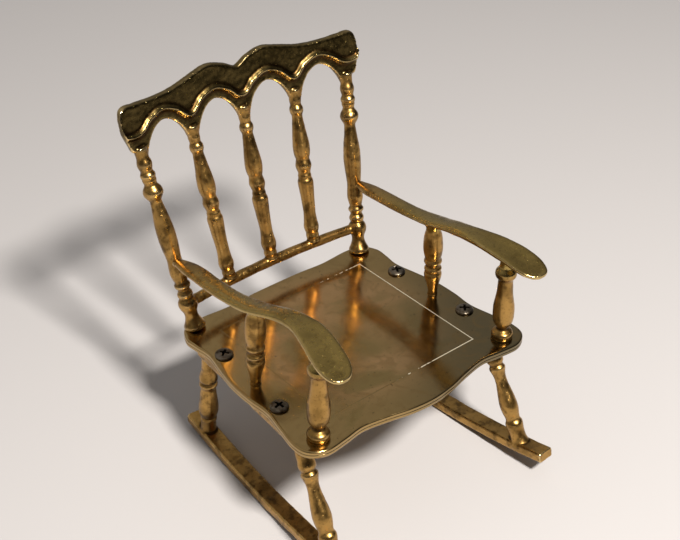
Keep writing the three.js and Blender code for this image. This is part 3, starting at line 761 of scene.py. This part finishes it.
# Painted reflection: the olive colours of the arms' tops.
ARM_PAINTED_REFLECTION = (0.4, 0.285, 0.09)
ARM_PAINTED_REFLECTION_TARNISH = (0.32, 0.225, 0.07)
COPPERY = (0.6, 0.37, 0.17)
OLIVE = (0.36, 0.255, 0.1)
SHADED_OLIVE = (0.17, 0.14, 0.08)
SWIRL_BROWN = (0.3, 0.19, 0.07)
WORN_LINE = (0.36, 0.25, 0.1)
BARE_METAL = (1.0, 0.93, 0.75)
CREST_FACE_Z = 0.0935            # metres: above this, on the crest rail, the back casting has a darker colour, a painted shade
ARM_FACE_Z = 0.0635              # metres: above this, on the arms, the arm castings are olive, a painted reflection of the sky


def cast_brass(name, painted_reflection_above, painted_reflection, painted_reflection_tarnish):
    """Aged cast brass: gold and tarnish in patches, brown in the hollows, rubbed bright on the crests.

    The faces above the given height take the given colours of their own, a painted reflection of the room
    that they face.
    """
    s = Surface(name)
    # painted reflection: above the given height, the given colours stand in for gold and tarnish
    high = s.spread(s.along(2), painted_reflection_above - 0.002, painted_reflection_above)
    gold = s.mix(high, GOLD, painted_reflection)
    tarnish = s.mix(high, TARNISH, painted_reflection_tarnish)
    colour = s.mix(s.spread(s.noise(150, detail=6), 0.4, 0.7), gold, tarnish)
    specks = s.spread(s.noise(1500, detail=3), 0.55, 0.72)
    colour = s.mix(s.maths("MULTIPLY", specks, 0.4), colour, DEEP_BROWN)
    stained = s.spread(high, 1.0, 0.0, 0.05, 0.6)
    stains = s.maths("MULTIPLY", s.spread(s.noise(330, detail=5), 0.5, 0.66), stained)
    colour = s.mix(stains, colour, DEEP_BROWN)
    hollow = s.hollow()
    colour = s.mix(s.spread(hollow, -0.05, 0.4, 0.0, 0.95), colour, DEEP_BROWN)
    colour = s.mix(s.spread(hollow, -0.4, -1.2, 0.0, 0.8), colour, RUBBED)
    worn = s.maths("SUBTRACT", s.spread(hollow, 0.5, -0.9, 0.36, 0.22), s.maths("MULTIPLY", high, 0.1))
    s.paint(colour, s.maths("ADD", worn, s.spread(s.noise(700), 0.3, 0.8, 0.0, 0.12)))
    pits = s.spread(s.noise(1900, detail=2), 0.62, 0.76, 1.0, 0.0)
    waves = s.spread(high, 0.0, 1.0, 0.00005, 0.00002)
    s.emboss((s.noise(420, detail=3), waves), (pits, 0.00003), (s.noise(2600, detail=3), 0.000012))
    return s.material


def seat_brass():
    """Polished, wavy plate: coppery in the middle, olive round it, and darker at the front right."""
    s = Surface("seat_brass")
    clouds = s.spread(s.noise(55, detail=4, distortion=0.6), 0.38, 0.66)
    shade = s.spread(s.maths("ADD", s.along(0), s.maths("MULTIPLY", s.along(1), -0.8)), 0.01, 0.05)
    brushed = s.noise(900, detail=5, stretch=(1, 0.06, 1), turn=0.7, distortion=0.4)
    swirl = s.noise(210, detail=4, distortion=1.4)
    off_middle = s.maths("ADD", *(s.maths("MULTIPLY", s.along(axis), s.along(axis)) for axis in (0, 1)))
    olive = s.maths("MAXIMUM", clouds, s.spread(off_middle, 0.0003, 0.0012, 0.0, 0.8))
    colour = s.mix(olive, COPPERY, OLIVE)
    colour = s.mix(s.maths("MULTIPLY", shade, 0.85), colour, SHADED_OLIVE)
    colour = s.mix(s.spread(swirl, 0.45, 0.7, 0.0, 0.4), colour, SWIRL_BROWN)
    specks = s.spread(s.noise(1100, detail=3), 0.66, 0.74, 0.0, 0.7)
    colour = s.mix(specks, colour, DEEP_BROWN)
    rough = s.maths("ADD", s.spread(brushed, 0.3, 0.7, 0.12, 0.17), s.spread(swirl, 0.4, 0.75, 0.0, 0.07))
    s.paint(colour, rough)
    s.emboss((s.noise(60, detail=1), 0.00025), (s.noise(2400, detail=2), 0.0000015))
    return s.material


def scribed_line():
    """The bright scratch round the panel: clear at the right, then broken, then worn away to the left."""
    s = Surface("scribed_line")
    from_left = s.maths("ADD", s.along(0), s.maths("MULTIPLY", s.along(1), -0.25))
    clear = s.spread(from_left, 0.015, 0.019)
    dashes = s.spread(s.noise(900, detail=2), 0.5, 0.58)
    broken = s.maths("MULTIPLY", s.spread(from_left, 0.003, 0.008), dashes)
    bright = s.maths("MAXIMUM", clear, broken)
    s.paint(s.mix(bright, WORN_LINE, BARE_METAL), s.spread(bright, 0.0, 1.0, 0.2, 0.5))
    return s.material


def dark_screw():
    """A tarnished screw head, mottled with dirt."""
    s = Surface("dark_screw")
    grime_and_painted_shade = s.spread(s.noise(700, detail=4), 0.35, 0.7)
    colour = s.mix(grime_and_painted_shade, (0.23, 0.195, 0.155), (0.09, 0.07, 0.045))
    s.paint(colour, s.spread(s.noise(1500), 0.3, 0.7, 0.28, 0.48))
    s.emboss((s.noise(1700, detail=4), 0.00005))
    return s.material


def painted_recess_shade():
    """A near-black painted shade in a screw's cross recess."""
    s = Surface("painted_recess_shade", roughness=0.7)
    s.paint(s.mix(s.spread(s.noise(2600), 0.4, 0.7), (0.012, 0.01, 0.008), (0.05, 0.04, 0.03)))
    return s.material


def floor_finish():
    material = bpy.data.materials.new("floor")
    material.use_nodes = True
    shader = material.node_tree.nodes["Principled BSDF"]
    shader.inputs["Base Color"].default_value = (0.5, 0.485, 0.49, 1)
    shader.inputs["Roughness"].default_value = 0.9
    return material


# ---- the chair ----------------------------------------------------------------------------------------
def keep(piece, material, slot, *nodes):
    """Gives a piece its material and its body, and hides the CAD nodes that it stands for. The slot is not
    used.
    """
    piece.data.materials.append(material)
    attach(piece, "root")
    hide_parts(*nodes)


# The crest rail's faces take a darker colour, a painted shade.
frame_brass = cast_brass("cast_brass", CREST_FACE_Z, painted_reflection=CREST_PAINTED_SHADE, painted_reflection_tarnish=CREST_PAINTED_SHADE_TARNISH)
# The arms' tops take an olive colour, a painted reflection of the sky.
arm_brass = cast_brass("arm_brass", ARM_FACE_Z, painted_reflection=ARM_PAINTED_REFLECTION, painted_reflection_tarnish=ARM_PAINTED_REFLECTION_TARNISH)
screw_metal = dark_screw()
# a near-black painted shade for the screws' cross recesses
grime_and_painted_shade = painted_recess_shade()

back = casting("back_casting", back_members(), voxel=0.3, rounds=5)
keep(back, frame_brass, "cast_brass", "crest_rail", "back_lower_rail",
     "back_spindle_left", "back_spindle_middle", "back_spindle_right", "back_post_left", "back_post_right")

seat = seat_plate()
keep(seat, seat_brass(), "seat_brass", "seat")
seat.data.materials.append(scribed_line())

for side, label in ((-1, "left"), (1, "right")):
    arms = casting(f"arm_casting_{label}", arm_members(side), swell=0.05)
    keep(arms, arm_brass, "arm_brass", f"arm_{label}",
         f"arm_support_mid_{label}", f"arm_support_front_{label}")
    frame_side = casting(f"side_frame_{label}", side_members(side))
    keep(frame_side, frame_brass, "cast_brass", f"rocker_{label}", f"side_bar_{label}",
         f"leg_front_{label}", f"leg_back_{label}")
    for end, along in SCREW_PLACES.items():
        screw = seat_screw(f"{end}_{label}", side, along)
        keep(screw, screw_metal, "dark_screw", f"seat_screw_{end}_{label}")
        screw.data.materials.append(grime_and_painted_shade)


# ---- floor, light and camera ----------------------------------------------------------------------------
# The camera's place in the seat's own millimetres, its axes in the seat's frame, and its lens.
CAMERA_PLACE = Vector((-188.7, -238.1, 221.4))
CAMERA_RIGHT = Vector((0.7683, -0.6401, 0))
CAMERA_DOWN = Vector((-0.3604, -0.4325, -0.8265))
CAMERA_LENS = 68.8
FLOOR_HALF = 3.0                 # metres
# The room's light by direction, from its dark side to its bright side.
ROOM_BRIGHT_SIDE = Vector((-0.2, 0.65, 0.73))
ROOM_DARK = (0.06, 0.06, 0.064, 1)
ROOM_BRIGHT = (0.8, 0.77, 0.73, 1)
ROOM_STRENGTH = 0.6


def add_floor():
    corners = [Vector((x * FLOOR_HALF, y * FLOOR_HALF, 0)) for x, y in ((-1, -1), (1, -1), (1, 1), (-1, 1))]
    floor = new_object("floor", corners, [(0, 1, 2, 3)])
    floor.data.materials.append(floor_finish())


def add_softbox(name, towards, distance, size, power, colour):
    """A round area light that looks at the chair from a direction."""
    light = bpy.data.lights.new(name, "AREA")
    light.shape = "DISK"
    light.size = size
    light.energy = power
    light.color = colour
    lamp = bpy.data.objects.new(name, light)
    direction = Vector(towards).normalized()
    lamp.location = Vector((0, 0, 0.05)) + direction * distance
    lamp.rotation_mode = "QUATERNION"
    lamp.rotation_quaternion = direction.to_track_quat("Z", "Y")
    bpy.context.collection.objects.link(lamp)


def add_room():
    """A dim room that is brightest up behind the chair's left, and darkest in front of its right."""
    world = bpy.data.worlds.new("room")
    world.use_nodes = True
    bpy.context.scene.world = world
    tree = world.node_tree
    place = tree.nodes.new("ShaderNodeTexCoord")
    towards = tree.nodes.new("ShaderNodeVectorMath")
    towards.operation = "DOT_PRODUCT"
    towards.inputs[1].default_value = ROOM_BRIGHT_SIDE.normalized()
    ramp = tree.nodes.new("ShaderNodeValToRGB")
    tree.links.new(place.outputs["Generated"], towards.inputs[0])
    tree.links.new(towards.outputs["Value"], ramp.inputs[0])
    tree.links.new(ramp.outputs[0], tree.nodes["Background"].inputs[0])
    ramp.color_ramp.elements[0].color = ROOM_DARK
    ramp.color_ramp.elements[1].color = ROOM_BRIGHT
    ramp.color_ramp.elements[1].position = 0.95
    tree.nodes["Background"].inputs[1].default_value = ROOM_STRENGTH


def add_camera():
    camera = bpy.data.cameras.new("camera")
    camera.sensor_width = 36.0
    camera.lens = CAMERA_LENS
    holder = bpy.data.objects.new("camera", camera)
    back = CAMERA_RIGHT.cross(-CAMERA_DOWN)
    turn = Matrix((CAMERA_RIGHT, -CAMERA_DOWN, back)).transposed()
    spot = PLACE @ CAMERA_PLACE
    lean = PLACE.to_quaternion().to_matrix()
    holder.matrix_world = Matrix.Translation(spot) @ lean.to_4x4() @ turn.to_4x4()
    camera.clip_start = 0.01
    bpy.context.collection.objects.link(holder)
    bpy.context.scene.camera = holder


add_floor()
add_room()
add_softbox("key", towards=(-0.08, -0.76, 1.0), distance=0.8, size=0.12, power=12, colour=(1.0, 0.95, 0.88))
add_camera()
bpy.context.scene.view_settings.view_transform = "Standard"
